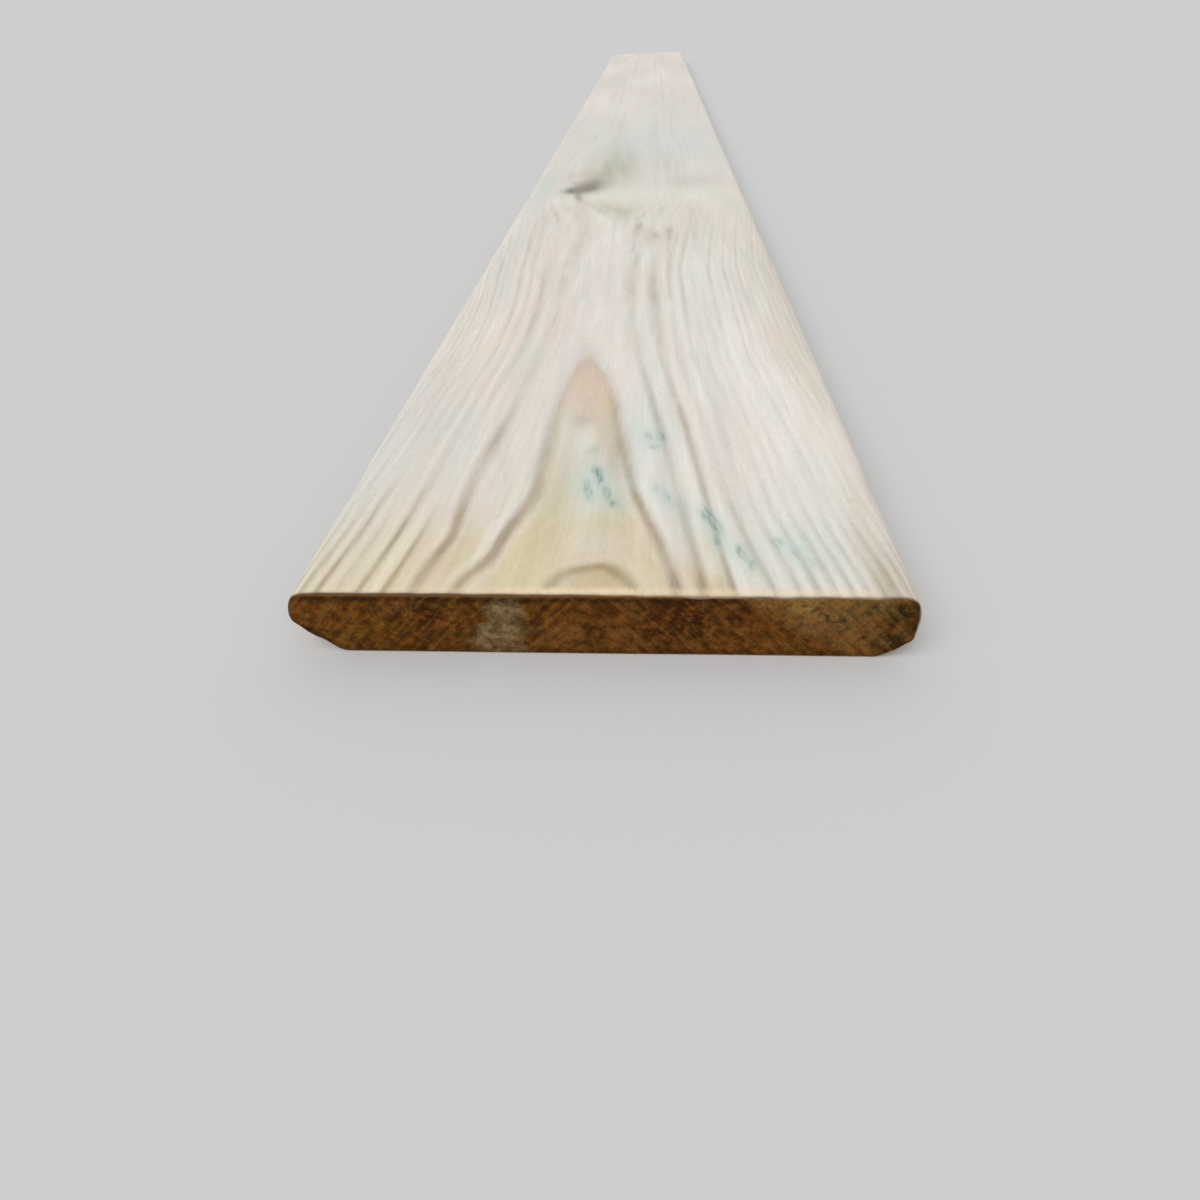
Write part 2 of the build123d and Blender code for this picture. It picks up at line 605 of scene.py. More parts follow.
# Soft patches of stain on the front cut end: colour, strength, middle across and in depth, size, lean
END_PATCHES = (
    (END_ORANGE, 0.8, (-66, 4.5), (7, 3.2)),
    (END_OLIVE, 1.0, (-54, 11), (8, 4), -1.2),
    (END_RED, 0.7, (-48, 6), (4.5, 2.5)),
    (END_DARK, 0.45, (-41, 6), (5, 6)),
    (END_AMBER, 0.8, (-34.5, 8), (3.5, 6)),
    (END_CLAY, 0.7, (-7, 11), (8, 3.5)),
    (END_RED, 0.7, (3.5, 4.5), (3.5, 3)),
    (END_CLAY, 0.7, (7, 11.5), (6, 3)),
    (END_AMBER, 0.8, (12, 6), (2.5, 4)),
    (END_DARK, 0.8, (23.5, 7), (5, 8)),
    (END_RUST, 0.8, (32, 8), (5, 7)),
    (END_RUST, 0.8, (18, 8), (8, 9)),
    (END_DARK, 0.6, (17, 9), (6, 7)),
    (END_RUST, 0.7, (-43, 10), (7, 6)),
    (END_DARK, 0.65, (22, 3), (11, 2.5)),
)

# The same for the paler wood to its right
LIGHT_PATCHES = (
    (END_PALE, 1.0, (48.5, 3.5), (5, 3.2), 0.6),
    (END_DRAB, 0.9, (61, 5), (5, 4)),
    (END_PINK, 0.8, (53, 10), (6, 3)),
    (END_PALE, 0.8, (56, 0), (16, 1.6)),
)

# Where small dark dots crowd the front cut end: strength, middle, size
END_DOTS = ((1, (-41, 5.5), (7.5, 4)), (1, (24, 7), (5, 5.5)))

# The thickest parts of its pale smear: strength, middle, size
SMEAR_SPOTS = ((0.25, (-22, 3.5), (3, 2.5)), (0.25, (-25, 11), (4, 3)))


def end_tint(across, depth, front):
    """The base colour of a cut end at each point. Front is 1 on the front one, 0 on the plain far one."""
    colours = np.tile(END_BROWN, (len(across), 1))
    colours = patched(colours, END_PATCHES, front, across, depth)
    falling = across - (depth - 2) * 1.5
    light = front * smooth_step(falling, 33, 38) * smooth_step(across, 73, 68)
    light = light * np.clip(1.0 - 0.035 * depth, 0, 1)
    colours = mixed(colours, END_LIGHT, light)
    colours = patched(colours, LIGHT_PATCHES, light, across, depth)
    right_end = front * smooth_step(across, 64, 69) * smooth_step(depth, 0.5, 3)
    return mixed(colours, END_UMBER, right_end)


def end_smear(across, depth):
    """How strongly each point of the front cut end is covered by a pale, dusty smear."""
    ragged = across + 1.1 * waves(43, across, depth, 7, 5)
    left = smooth_step(ragged + 0.42 * (depth - 2), -26.3, -23.5)
    right = smooth_step(ragged, -16.4, -18.8)
    thickness = 0.56 + spots(across, depth, SMEAR_SPOTS) + 0.14 * waves(44, across, depth, 4, 4)
    return left * right * np.clip(thickness, 0, 1) * smooth_step(depth, 0.2, 2.2)


def end_rim_and_painted_shade(across, along, depth):
    """How near each point is to the darker rim under the upper arris, to the painted shade round the lower
    corners along the underside and the wane, and to the darker right side.
    """
    off = np.hypot(across - PITH_ACROSS, THICKNESS - depth - PITH_HEIGHT)
    upper = smooth_step(depth, 3.0, 1.4) * smooth_step(depth, 0.3, 0.8)
    upper = upper * np.where(along < LENGTH / 2, smooth_step(across, 42, 30), 0.6)
    # Painted shade along the underside and round the wane's border
    lower = smooth_step(depth, THICKNESS - 2.5, THICKNESS)
    waned = smooth_step(off, LOG_RADIUS - 2.6, LOG_RADIUS - 0.4)
    right = smooth_step(across, WIDTH / 2 - 3.5, WIDTH / 2 - 1)
    return np.maximum(np.maximum(upper, 0.6 * lower), np.maximum(waned, 0.7 * right))


# The shape


def graded(length, count, places, spacings):
    """Distances from 0 to length in count steps, each about as long as its spacing says."""
    fine = np.linspace(0, length, 40001)
    share = np.cumsum(1 / np.interp(fine, places, spacings))
    share = (share - share[0]) / (share[-1] - share[0])
    return np.interp(np.linspace(0, 1, count + 1), share, fine)


def half_outline(left_radius, right_radius, edge_step, middle_step):
    """The section's upper half, from the middle of its left side to that of its right side.

    Gives its points, the directions that they face in, and each one's share of the way.
    """
    left_side = THICKNESS / 2 - left_radius
    left_arc = left_radius * pi / 2
    flat = WIDTH - left_radius - right_radius
    right_arc = right_radius * pi / 2
    ends = np.cumsum((left_side, left_arc, flat, right_arc, THICKNESS / 2 - right_radius))
    whole = ends[-1]
    fine_until = ends[1] + 4
    coarse_from = fine_until + 8
    places = (0, fine_until, coarse_from, whole - coarse_from, whole - fine_until)
    spacings = (edge_step, edge_step, middle_step, middle_step, edge_step)
    gone = graded(whole, COLUMNS, places, spacings)
    left_turn = np.clip((gone - ends[0]) / left_radius, 0, pi / 2)
    right_turn = np.clip((gone - ends[2]) / right_radius, 0, pi / 2)
    turn = pi - left_turn - right_turn
    normals = np.stack([np.cos(turn), np.sin(turn)], 1)
    radius = np.where(gone < ends[1] + flat / 2, left_radius, right_radius)
    centre_x = left_radius - WIDTH / 2 + np.clip(gone - ends[1], 0, flat)
    risen = np.minimum(gone, whole - gone)
    centre_z = THICKNESS / 2 + np.minimum(risen, THICKNESS / 2 - radius)
    return np.stack([centre_x, centre_z], 1) + normals * radius[:, None], normals, gone / whole


def row_places():
    """Distances along the board of the mesh's rows: fine over the arrises and the front's grain."""
    arris = END_ARRIS * np.array([0, 0.1, 0.3, 0.6])
    inner = LENGTH - 2 * END_ARRIS
    places = (0, 130, 480, 800, inner)
    spacings = (1.05, 1.05, 4.5, 12, 12)
    between = graded(inner, ROWS - 2 * len(arris), places, spacings)
    return np.concatenate([arris, END_ARRIS + between, (LENGTH - arris)[::-1]])


def arris_inset(along):
    """How far each row is drawn in by the small rounding of both cut ends."""
    from_end = np.minimum(along, LENGTH - along)
    left = np.clip(1 - from_end / END_ARRIS, 0, 1)
    return END_ARRIS * (1 - np.sqrt(1 - left**2))


def log_limit(point_x, point_z, along):
    """Points drawn in to the log's own round and slightly fluted surface, and how far they moved."""
    off_x = point_x - PITH_ACROSS
    off_z = point_z - PITH_HEIGHT
    reach = np.hypot(off_x, off_z)
    bearing = np.arctan2(off_x, -off_z) * LOG_RADIUS
    flutes = 0.5 + 0.5 * waves(51, bearing, along, 9, 160) + 0.25 * waves(52, bearing, along, 30, 90)
    limit = LOG_RADIUS + LOG_WIDENING * along - WANE_FLUTES * np.clip(flutes, 0, 2)
    share = np.clip(0.5 + 0.5 * (limit - reach) / WANE_SOFTNESS, 0, 1)
    kept = limit * (1 - share) + reach * share - WANE_SOFTNESS * share * (1 - share)
    scale = kept / reach
    return PITH_ACROSS + off_x * scale, PITH_HEIGHT + off_z * scale, reach - kept


def surface_wear(across, along, depth):
    """How far the planed surface lies too low: in dents at its edges, at the knot and in slack waves."""
    deepest_dent = 0.45
    deepest_sinking = 0.35
    deepest_slack = 0.06
    edge = smooth_step(np.abs(across), WIDTH / 2 - 8, WIDTH / 2 - 1)
    dents = deepest_dent * np.clip(waves(61, depth * 3, along, 30, 55) - 0.35, 0, 1)
    sunk = deepest_sinking * knot_shade(across, along) * (depth < 3)
    slack = deepest_slack * np.clip(0.5 + 0.5 * waves(62, across, along, 50, 180), 0, 1)
    return edge * dents + sunk + slack * (1 - edge)


def skin_points(points, normals, rows):
    """The vertices of one half of the board's skin, row by row, and how far the wane moved each."""
    along = rows[:, None]
    point_x, point_z = points.T
    chipped = 1 + 0.4 * waves(63, point_x, point_z, 7, 7) * (point_z > THICKNESS / 2)
    drawn = arris_inset(along) * np.clip(chipped, 0.3, 2)
    drawn = drawn + surface_wear(point_x, along, THICKNESS - point_z)
    point_x, point_z, waned = log_limit(point_x, point_z, along)
    moved_x = point_x - normals[:, 0] * drawn
    moved_z = point_z - normals[:, 1] * drawn
    return np.stack(np.broadcast_arrays(moved_x, along, moved_z), -1), waned


# The mesh


def cell_corners(grid):
    """The values at the four corners of every cell of a grid."""
    return np.stack([grid[:-1, :-1], grid[:-1, 1:], grid[1:, 1:], grid[1:, :-1]], -1).reshape(-1, 4)


class Shell:
    """The board's vertices, how far the wane moved each, and its faces with map places and materials."""

    def __init__(self):
        self.points = np.zeros((0, 3))
        self.waned = np.zeros(0)
        self.faces = np.zeros((0, 4), int)
        self.places = np.zeros((0, 4, 2))
        self.materials = np.zeros(0, int)

    def add_points(self, points, waned):
        """Adds a grid of vertices and gives back their numbers."""
        numbers = len(self.points) + np.arange(waned.size).reshape(waned.shape)
        self.points = np.concatenate([self.points, points.reshape(-1, 3)])
        self.waned = np.concatenate([self.waned, waned.ravel()])
        return numbers

    def add_faces(self, grid, u, v, material, turned):
        """Adds the cells of a grid of vertex numbers. U and v are their places on the map."""
        faces = cell_corners(grid)
        places = np.stack([cell_corners(u), cell_corners(v)], -1)
        if turned:
            faces = faces[:, ::-1]
            places = places[:, ::-1]
        self.faces = np.concatenate([self.faces, faces])
        self.places = np.concatenate([self.places, places])
        self.materials = np.concatenate([self.materials, np.full(len(faces), material)])


def add_strip(shell, grid, rows, share, left, width, turned):
    """Adds a stretch of skin that lies between the given rows, on a strip of the map."""
    gone = (rows - rows[0]) / (rows[-1] - rows[0])
    u = np.broadcast_to(left + share * width, grid.shape)
    v = np.broadcast_to((MAP_MARGIN + gone * MAP_STRIP)[:, None], grid.shape)
    shell.add_faces(grid, u, v, WOOD, turned)


def add_end(shell, bottom, top, base, scale, turned):
    """Adds a cut end, as a grid between its lower and its upper row of vertices."""
    share = (np.arange(1, END_ROWS) / END_ROWS)[:, None, None]
    between = shell.points[bottom[1:-1]] * (1 - share) + shell.points[top[1:-1]] * share
    grid = np.tile(top, (END_ROWS + 1, 1))
    grid[0] = bottom
    grid[1:-1, 1:-1] = shell.add_points(between, np.zeros(between.shape[:2]))
    u = MAP_MARGIN + (shell.points[grid][..., 0] + WIDTH / 2) * scale
    v = base + shell.points[grid][..., 2] * scale
    shell.add_faces(grid, u, v, END_GRAIN, turned)


def build_shell():
    """The whole board, closed: an upper and a lower half of its skin, and both cut ends."""
    shell = Shell()
    rows = row_places()
    top, top_normals, top_share = half_outline(
        TOP_LEFT_EASING, TOP_RIGHT_EASING, edge_step=1.15, middle_step=1.15
    )
    low, low_normals, low_share = half_outline(
        UNDERSIDE_EASING, UNDERSIDE_EASING, edge_step=0.75, middle_step=1.8
    )
    low[:, 1] = THICKNESS - low[:, 1]
    upper = shell.add_points(*skin_points(top, top_normals, rows))

    # The two halves share the vertices along the middle of each side.
    points, waned = skin_points(low, low_normals * (1, -1), rows)
    lower = upper.copy()
    lower[:, 1:-1] = shell.add_points(points[:, 1:-1], waned[:, 1:-1])

    # Each half has two strips of the map, which part at a place along the board. Their widths are in
    # the map's own units.
    left = MAP_MARGIN
    for grid, share, part_at, widths, turned in (
        (upper, top_share, 450.0, (330, 120), False),
        (lower, low_share, 900.0, (100, 100), True),
    ):
        part = int(np.searchsorted(rows, part_at))
        for stretch, width in zip((slice(part + 1), slice(part, None)), widths):
            add_strip(shell, grid[stretch], rows[stretch], share, left, width, turned)
            left = left + width + MAP_GAP

    base = MAP_MARGIN + MAP_STRIP + MAP_GAP
    for row, scale, turned in ((0, FRONT_END_SCALE, False), (-1, FAR_END_SCALE, True)):
        add_end(shell, lower[row], upper[row], base, scale, turned)
        base = base + scale * THICKNESS + MAP_GAP
    return shell


def mesh_from(shell):
    """The shell's mesh. Its faces have four corners, or three where a cut end narrows to a side."""
    kept = shell.faces != np.roll(shell.faces, 1, 1)
    corners = shell.faces[kept]
    totals = kept.sum(1)
    in_metres = shell.points * MM + (0, board_low.y, 0)
    mesh = bpy.data.meshes.new("weathered_board")
    mesh.vertices.add(len(in_metres))
    mesh.vertices.foreach_set("co", in_metres.ravel())
    mesh.loops.add(len(corners))
    mesh.loops.foreach_set("vertex_index", corners)
    mesh.polygons.add(len(totals))
    mesh.polygons.foreach_set("loop_start", np.cumsum(totals) - totals)
    mesh.polygons.foreach_set("loop_total", totals)
    mesh.polygons.foreach_set("material_index", shell.materials)
    layer = mesh.uv_layers.new(name="OFBake")
    layer.data.foreach_set("uv", (shell.places[kept] / MAP_SIDE).ravel())
    return mesh


def ring_slope(place, axis):
    """How many rings go by in a millimetre at each place, along one of its three axes."""
    half_step = 0.5 * np.eye(3)[:, axis, None]
    return ring_number(*(place + half_step)) - ring_number(*(place - half_step))


def dress_mesh(mesh, shell):
    """Gives every vertex the grain and the stains there, for the materials to read."""
    across, along, height = shell.points.T
    depth = THICKNESS - height
    place = np.array([across, along, depth])
    rings = ring_number(*place)
    slopes = [ring_slope(place, axis) for axis in range(3)]
    face_pitch = np.abs(slopes[0]) + np.abs(slopes[1])
    side_pitch = np.hypot(slopes[0], slopes[2])
    on_top = smooth_step(depth, 7, 4)
    front = 1.0 * (along < LENGTH / 2)
    values = {
        "rings": rings,
        "pitch": side_pitch * (1 - on_top) + face_pitch * on_top,
        "line": line_strength(*place, rings),
        "softness": line_softness(across, along, rings),
        "follow": follow_grain(*place),
        "calm": streak_strength(across, along),
        "fleck": fleck_depth(across, along) * on_top,
        "fleck_haze": fleck_haze(across, along) * on_top,
        "knot": knot_shade(across, along) * on_top,
        "graze": ring_grazes(across, along) * on_top,
        "from_end": np.minimum(along, LENGTH - along),
        "soak": soak_reach(across, along),
        # Painted highlight along the end arrises
        "arris_highlight": np.interp(across, *zip(*ARRIS_HIGHLIGHT_STRENGTH)),
        "wane": smooth_step(shell.waned, 0.1, 0.8),
        # The darker rim under the upper arris, with painted shade along the underside and the wane
        "rim": end_rim_and_painted_shade(*place),
        "smear": end_smear(across, depth) * front,
        "dots": np.clip(spots(across, depth, END_DOTS), 0, 1) * front,
        "tint": face_tint(*place, rings),
        "end_tint": end_tint(across, depth, front),
    }
    for name, numbers in values.items():
        kind, key = ("FLOAT", "value") if numbers.ndim == 1 else ("FLOAT_COLOR", "color")
        attribute = mesh.attributes.new(name, kind, "POINT")
        attribute.data.foreach_set(key, numbers.ravel())


# The materials


class Nodes:
    """A material with short calls for the nodes that it needs. They give back sockets."""

    def __init__(self, name):
        self.material = bpy.data.materials.new(name)
        self.material.use_nodes = True
        self.tree = self.material.node_tree
        self.shader = self.tree.nodes["Principled BSDF"]

    def fill(self, node, inputs):
        """Links each input to a socket, or sets it to a number or colour."""
        for key, value in inputs.items():
            if isinstance(value, bpy.types.NodeSocket):
                self.tree.links.new(value, node.inputs[key])
            else:
                node.inputs[key].default_value = value

    def add(self, kind, inputs, **settings):
        """A new node with these inputs and settings."""
        node = self.tree.nodes.new("ShaderNode" + kind)
        for name, setting in settings.items():
            setattr(node, name, setting)
        self.fill(node, inputs)
        return node

    def attribute(self, name, output="Fac"):
        """What the mesh's vertices say at each point."""
        return self.add("Attribute", {}, attribute_name=name).outputs[output]

    def math(self, operation, first, second=0.0, clamp=False):
        """A sum of one or two numbers. Clamp keeps it between 0 and 1."""
        return self.add("Math", {0: first, 1: second}, operation=operation, use_clamp=clamp).outputs[0]

    def plus(self, first, second, clamp=False):
        return self.math("ADD", first, second, clamp)

    def minus(self, first, second):
        return self.math("SUBTRACT", first, second)

    def times(self, first, second, clamp=False):
        return self.math("MULTIPLY", first, second, clamp)

    def over(self, first, second):
        return self.math("DIVIDE", first, second)

    def position(self):
        """The point on the board, in millimetres, as three sockets."""
        place = self.add("TexCoord", {}).outputs["Object"]
        parts = self.add("SeparateXYZ", {0: place})
        return [self.times(socket, 1 / MM) for socket in parts.outputs]

    def streaks(self, place, wide, long, detail=2.0, roughness=0.5):
        """A soft random pattern, whose lumps are about as wide and as long as given."""
        x, y, z = place
        scaled = {0: self.over(x, wide), 1: self.over(y, long), 2: self.over(z, wide)}
        vector = self.add("CombineXYZ", scaled).outputs[0]
        inputs = {"Vector": vector, "Scale": 1.0, "Detail": detail, "Roughness": roughness}
        return self.add("TexNoise", inputs).outputs["Fac"]

    def span(self, value, low, high, start=0.0, end=1.0, smooth=False):
        """Maps low..high to start..end, and holds it there."""
        inputs = {"Value": value, "From Min": low, "From Max": high, "To Min": start, "To Max": end}
        kind = "SMOOTHSTEP" if smooth else "LINEAR"
        return self.add("MapRange", inputs, interpolation_type=kind).outputs["Result"]

    def mix(self, share, first, second, blend="MIX"):
        """The first colour, moved by its share towards the second or towards their blend."""
        inputs = {0: share, 6: first, 7: second}
        return self.add("Mix", inputs, data_type="RGBA", blend_type=blend).outputs[2]

    def tinted(self, colour, tints, share=1.0):
        """The colour with tints in it. Their rows say pattern, its span from none to all, strength, tint."""
        for pattern, none, full, strength, tint in tints:
            amount = self.times(self.span(pattern, none, full, 0.0, strength), share)
            colour = self.mix(amount, colour, tint)
        return colour

    def shaded(self, colour, pattern, low, high, darkest, lightest, share=1.0):
        """The colour, darkened where the pattern is low and lightened where it is high."""
        level = self.span(pattern, low, high, darkest, lightest)
        return self.mix(share, colour, level, "MULTIPLY")

    def bell(self, value):
        """1 where the value is 0, falling smoothly to 0 beyond 2."""
        return self.math("EXPONENT", self.times(self.times(value, value), -1.0))

    def finish(self, colour, roughness, height, relief, strength, gloss):
        """The material, with bumps as high as relief, in metres, and gloss as its specular level."""
        bump = self.add("Bump", {"Height": height, "Distance": relief, "Strength": strength})
        normal = bump.outputs["Normal"]
        inputs = {"Base Color": colour, "Roughness": roughness, "Normal": normal}
        self.fill(self.shader, inputs | {"Specular IOR Level": gloss})
        return self.material


# Colours of the planed wood's details. What lies under a ring line is multiplied by its colour.
PALE_BAND = srgb(240, 236, 227)
RING_LINE = srgb(200, 191, 180)
BEYOND_RING = srgb(238, 234, 222)
FLECK_HAZE = srgb(186, 208, 200)
FLECK = srgb(120, 148, 136)
# The knot's grey, partly painted shadow in its hollow
KNOT_GREY_AND_SHADOW = srgb(130, 124, 111)
# Painted highlight along the end arrises
PAINTED_ARRIS_HIGHLIGHT = srgb(236, 214, 178)
SOAKED_FIBRE = srgb(84, 52, 20)
BAST_DARK = srgb(150, 118, 82)
BAST_LIGHT = srgb(186, 156, 118)


def add_streaks(n, colour, place):
    """Pale bands between the rings, and broad rosy and bluish streaks."""
    follow, y, z = place
    broad = n.streaks(place, 11, 120)
    rosy = n.streaks(place, 10, 50)
    bluish = n.streaks((follow, n.plus(y, 900.0), z), 9, 40)
    bands = n.streaks((n.attribute("rings"), y, 0.0), 1 / 1.7, 100)
    where_wide = n.span(n.attribute("pitch"), 0.1, 0.3, 1.0, 0.25)
    calm = n.attribute("calm")
    colour = n.tinted(colour, [(bands, 0.45, 0.65, 0.4, PALE_BAND)], n.times(where_wide, calm))
    tints = (
        (broad, 0.45, 0.68, 0.3, srgb(230, 214, 204)),
        (broad, 0.45, 0.3, 0.35, srgb(210, 215, 206)),
        (rosy, 0.5, 0.7, 0.2, srgb(228, 211, 200)),
        (bluish, 0.5, 0.7, 0.2, srgb(204, 214, 205)),
    )
    return n.tinted(colour, tints, calm)


def add_ring_lines(n, colour, place):
    """A soft dark line where each ring ends, a little sharper on its outer side, and pale beyond."""
    rings = n.attribute("rings")
    pitch = n.math("MAXIMUM", n.attribute("pitch"), 0.03)
    line = n.attribute("line")
    softness = n.attribute("softness")

    # The distances to the line outside each point and from the line inside it are in millimetres.
    part = n.math("FRACT", rings)
    to_line = n.over(n.minus(1.0, part), pitch)
    past_line = n.over(part, pitch)
    inner_width = n.math("MINIMUM", n.times(softness, 1.6), n.over(0.3, pitch))
    outer_width = n.math("MINIMUM", n.times(softness, 1.25), n.over(0.25, pitch))
    inside = n.bell(n.over(to_line, inner_width))
    outside = n.bell(n.over(past_line, outer_width))
    lead_in = n.times(n.span(part, 0.55, 1.0, 0.0, 1.0, True), 0.12)
    shade = n.math("MAXIMUM", n.math("MAXIMUM", inside, lead_in), outside)
    broken = n.span(n.streaks(place, 4, 16), 0.3, 0.6, 0.7, 1.1)
    dark = n.times(shade, n.times(line, broken), clamp=True)
    dark = n.math("MAXIMUM", dark, n.times(n.attribute("graze"), 0.62))
    colour = n.mix(dark, colour, n.mix(1.0, colour, RING_LINE, "MULTIPLY"))
    beyond = n.times(n.span(past_line, 1.4, 2.4), n.span(past_line, 2.4, 4.5, 0.15, 0.0))
    return n.mix(n.times(beyond, line), colour, BEYOND_RING)


def add_flecks(n, colour, place):
    """Preservative: thin dark strokes inside paler flecks."""
    follow, y, z = place
    leant = n.plus(follow, n.times(y, -FLECK_LEAN))
    strokes = n.streaks((leant, y, z), 1.0, 5.0, 1.0)
    haze = n.times(n.attribute("fleck_haze"), 0.42)
    colour = n.mix(haze, colour, FLECK_HAZE)
    marked = n.times(n.attribute("fleck"), n.span(strokes, 0.4, 0.55, 0.45, 1.0), clamp=True)
    return n.mix(marked, colour, FLECK)


def add_cut_edge(n, colour, speckle):
    """A painted highlight where crushed fibres by the cut ends would catch the light, and the stain that
    soaks over their arrises.
    """
    torn = n.span(speckle, 0.3, 0.6, 0.4, 1.0)
    from_end = n.attribute("from_end")
    near_end = n.span(from_end, 1.8, 3.7, 1.0, 0.0)
    # Painted highlight: the ends' arrises made paler, as if crushed fibres caught the light
    arris_highlight = n.times(near_end, n.times(n.attribute("arris_highlight"), torn))
    colour = n.mix(arris_highlight, colour, PAINTED_ARRIS_HIGHLIGHT)
    past_soak = n.minus(from_end, n.attribute("soak"))
    sharp = n.span(past_soak, -0.35, 0.3, 0.7, 0.0)
    faint = n.span(past_soak, -0.2, 1.1, 0.25, 0.0)
    return n.mix(n.plus(sharp, faint, clamp=True), colour, SOAKED_FIBRE)


def planed_wood():
    """Pale, dry planed softwood: soft ring lines, fine fibres, faint stains, a grey knot with painted shadow
    in its hollow, and a painted highlight along the end arrises.
    """
    n = Nodes("planed_wood")
    x, y, z = n.position()
    grain = (n.attribute("follow"), y, z)
    calm = n.attribute("calm")
    fine = n.streaks(grain, 1.1, 30, 3.0, 0.6)
    middling = n.streaks(grain, 3.4, 60, 2.0, 0.55)
    speckle = n.streaks((x, y, z), 1.1, 2.4, 3.0, 0.7)

    colour = add_streaks(n, n.attribute("tint", "Color"), grain)
    colour = n.shaded(colour, middling, 0.3, 0.7, 0.955, 1.045, calm)
    colour = n.shaded(colour, fine, 0.25, 0.75, 0.94, 1.045, calm)
    colour = n.shaded(colour, speckle, 0.3, 0.72, 0.95, 1.045)
    colour = add_ring_lines(n, colour, grain)
    colour = add_flecks(n, colour, grain)
    # The knot's grey, partly painted shadow in its hollow
    knot_and_shadow = n.times(n.attribute("knot"), n.span(middling, 0.3, 0.6, 1.0, 0.85))
    colour = n.mix(knot_and_shadow, colour, KNOT_GREY_AND_SHADOW)
    colour = add_cut_edge(n, colour, speckle)
    bast = n.mix(n.span(fine, 0.3, 0.7), BAST_DARK, BAST_LIGHT)
    colour = n.mix(n.attribute("wane"), colour, bast)

    roughness = n.span(fine, 0.3, 0.7, 0.82, 0.66)
    height = n.plus(n.times(fine, 0.5), n.times(speckle, 0.35))
    return n.finish(colour, roughness, height, relief=0.00006, strength=0.7, gloss=0.2)


# Colours of the cut ends' details
DUST_DARK = srgb(100, 84, 54)
DUST_LIGHT = srgb(137, 120, 88)
END_DOT = srgb(44, 16, 6)
END_RING = srgb(50, 26, 6)
# The darker rim under the upper arris, also used as painted shade along the underside and the wane
END_RIM_AND_PAINTED_SHADE = srgb(42, 24, 6)
UPPER_ARRIS_TINT = srgb(150, 108, 52)


def saw_marks(n, place):
    """Marks that slant one way on the cut end's left and the other way on its right."""
    x, y, z = place
    slant = 0.9
    flat_z = n.times(z, 0.2)
    left_marks = n.streaks((n.plus(x, n.times(z, -slant)), y, flat_z), 2.0, 9)
    right_marks = n.streaks((n.plus(x, n.times(z, slant)), y, flat_z), 2.0, 9)
    to_right = n.span(x, -12.0, 12.0, 0.0, 1.0, True)
    kept_left = n.times(left_marks, n.minus(1.0, to_right))
    return n.plus(kept_left, n.times(right_marks, to_right))


def stained_end():
    """Sawn end grain, soaked dark brown by preservative, with faint rings and slanting saw marks."""
    n = Nodes("stained_end")
    place = n.position()
    x, y, z = place
    mottle = n.streaks(place, 2.6, 2.6, 2.0, 0.6)
    cloud = n.streaks(place, 8, 8)
    grain = n.streaks(place, 0.75, 0.75, 3.0, 0.7)
    hue = n.streaks((n.plus(x, 400.0), y, z), 3.4, 3.4)
    fine_dots = n.streaks(place, 1.25, 1.25, 1.0)
    marks = saw_marks(n, place)

    stains = (
        (cloud, 0.5, 0.64, 0.3, srgb(114, 62, 12)),
        (cloud, 0.46, 0.36, 0.3, srgb(70, 46, 8)),
        (hue, 0.51, 0.62, 0.3, srgb(94, 42, 12)),
        (hue, 0.47, 0.38, 0.2, srgb(80, 60, 14)),
        (mottle, 0.48, 0.66, 0.5, srgb(138, 86, 32)),
        (mottle, 0.46, 0.34, 0.6, srgb(48, 26, 6)),
        (marks, 0.5, 0.66, 0.3, srgb(144, 102, 50)),
        (marks, 0.46, 0.3, 0.45, srgb(44, 24, 6)),
    )
    colour = n.tinted(n.attribute("end_tint", "Color"), stains)
    dust = n.mix(n.span(mottle, 0.4, 0.62), DUST_DARK, DUST_LIGHT)
    colour = n.mix(n.attribute("smear"), colour, dust)
    dots = n.times(n.span(fine_dots, 0.53, 0.63, 0.0, 0.9, True), n.attribute("dots"))
    colour = n.mix(dots, colour, END_DOT)
    colour = n.shaded(colour, grain, 0.28, 0.72, 0.63, 1.4)
    part = n.math("FRACT", n.attribute("rings"))
    colour = n.mix(n.span(part, 0.7, 1.0, 0.0, 0.16, True), colour, END_RING)
    # The darker rim under the upper arris, with painted shade along the underside and the wane
    rim = n.times(n.attribute("rim"), n.span(marks, 0.3, 0.62, 1.0, 0.45))
    colour = n.mix(rim, colour, END_RIM_AND_PAINTED_SHADE)
    # Paler towards the upper arris of each cut end
    paler_upper_arris = n.span(z, THICKNESS - 0.9, THICKNESS - 0.1, 0.0, 0.3)
    colour = n.mix(paler_upper_arris, colour, UPPER_ARRIS_TINT)

    roughness = n.span(grain, 0.3, 0.7, 0.8, 0.62)
    height = n.plus(n.times(grain, 0.7), n.times(marks, 0.3))
    return n.finish(colour, roughness, height, relief=0.0002, strength=0.8, gloss=0.06)


# The scene


def put_in_scene(name, data):
    """A new object that shows a mesh, lamp or camera."""
    thing = bpy.data.objects.new(name, data)
    bpy.context.scene.collection.objects.link(thing)
    return thing


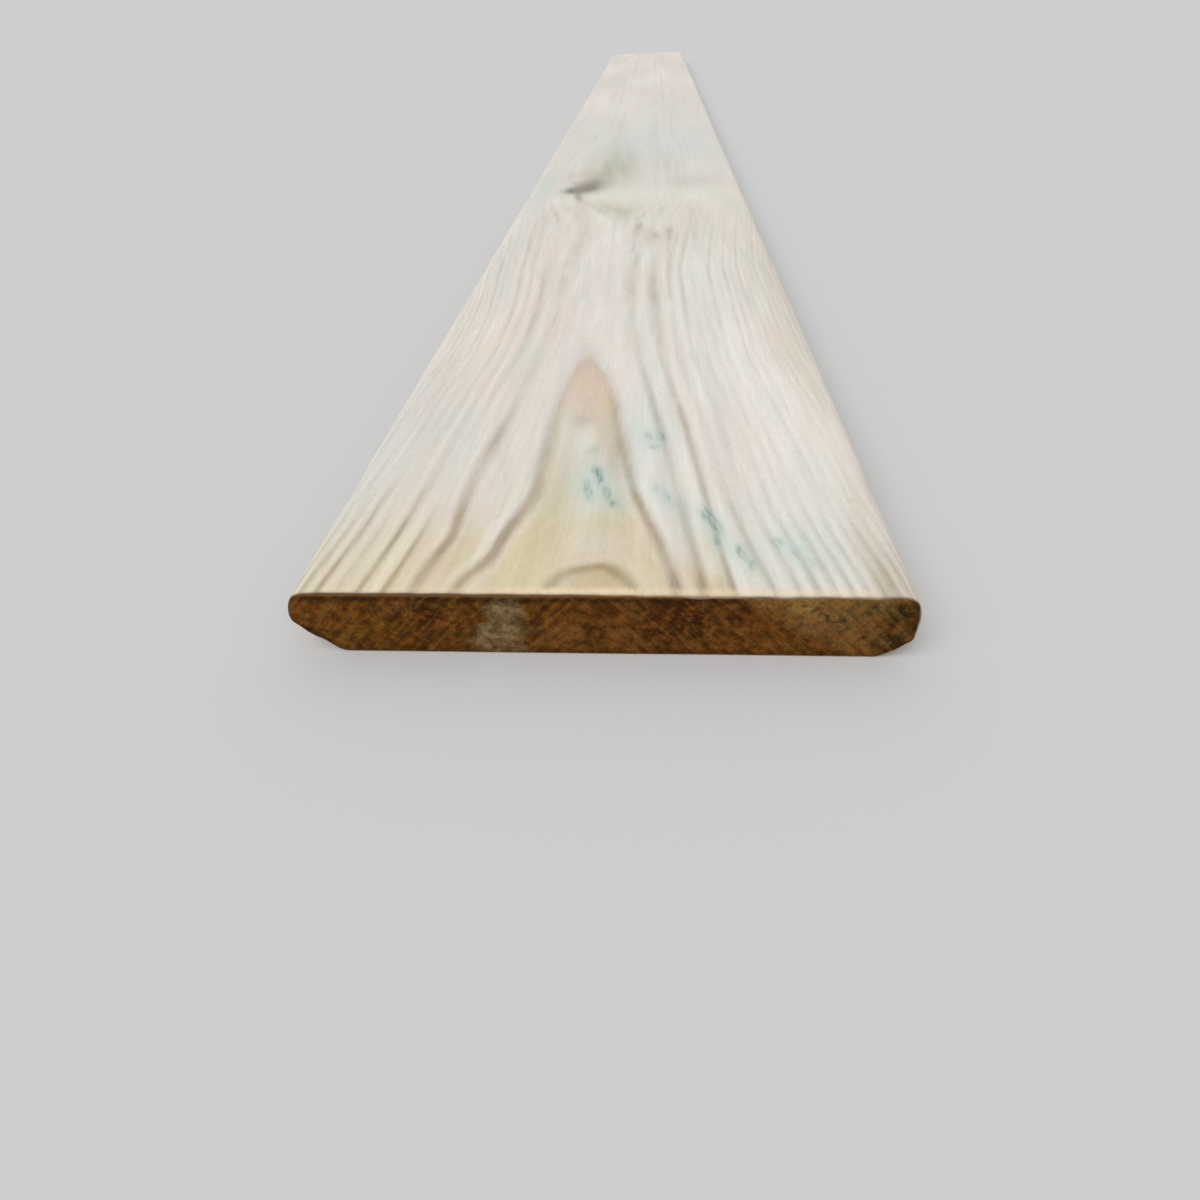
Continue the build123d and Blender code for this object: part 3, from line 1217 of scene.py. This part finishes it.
def make_board():
    """The board as one piece, in place of the plain solid."""
    shell = build_shell()
    mesh = mesh_from(shell)
    dress_mesh(mesh, shell)
    mesh.materials.append(planed_wood())
    mesh.materials.append(stained_end())
    mesh.update(calc_edges=True)
    mesh.validate()
    mesh.polygons.foreach_set("use_smooth", np.ones(len(mesh.polygons), bool))
    board = put_in_scene("weathered_board", mesh)
    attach(board, "root")
    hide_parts("fence_board")


def make_floor():
    """A wide, plain floor."""
    n = Nodes("floor")
    grey = srgb(FLOOR_GREY, FLOOR_GREY, FLOOR_GREY)
    n.fill(n.shader, {"Base Color": grey, "Roughness": 1.0, "Specular IOR Level": 0.0})
    far = FLOOR_REACH
    corners = [(-far, -far, 0), (far, -far, 0), (far, far, 0), (-far, far, 0)]
    mesh = bpy.data.meshes.new("floor")
    mesh.from_pydata(corners, [], [(0, 1, 2, 3)])
    mesh.materials.append(n.material)
    put_in_scene("floor", mesh)


def make_light():
    """An even sky and one very soft lamp from the front left."""
    world = bpy.data.worlds.new("sky")
    bpy.context.scene.world = world
    world.use_nodes = True
    background = world.node_tree.nodes["Background"]
    background.inputs["Color"].default_value = (1, 1, 1, 1)
    background.inputs["Strength"].default_value = SKY_STRENGTH
    lamp = bpy.data.lights.new("soft_lamp", "SUN")
    lamp.energy = LAMP_STRENGTH
    lamp.angle = radians(LAMP_SOFTNESS)
    holder = put_in_scene("soft_lamp", lamp)
    holder.rotation_mode = "QUATERNION"
    holder.rotation_quaternion = Vector(LAMP_FROM).to_track_quat("Z", "Y")


def make_camera():
    """A wide lens low over the front end, looking down along the board."""
    data = bpy.data.cameras.new("camera")
    data.lens = data.sensor_width * FOCAL_SHARE
    data.clip_start = 0.01
    camera = put_in_scene("camera", data)
    place = Vector(CAMERA_PLACE) * MM + Vector((0, board_low.y, board_high.z))
    turn = Matrix.Rotation(radians(TURNED_LEFT), 4, "Z")
    tilt = Matrix.Rotation(radians(90 - TILTED_DOWN), 4, "X")
    roll = Matrix.Rotation(radians(ROLLED), 4, "Z")
    camera.matrix_world = Matrix.Translation(place) @ turn @ tilt @ roll
    bpy.context.scene.camera = camera


make_board()
make_floor()
make_light()
make_camera()
bpy.context.scene.view_settings.view_transform = "Standard"
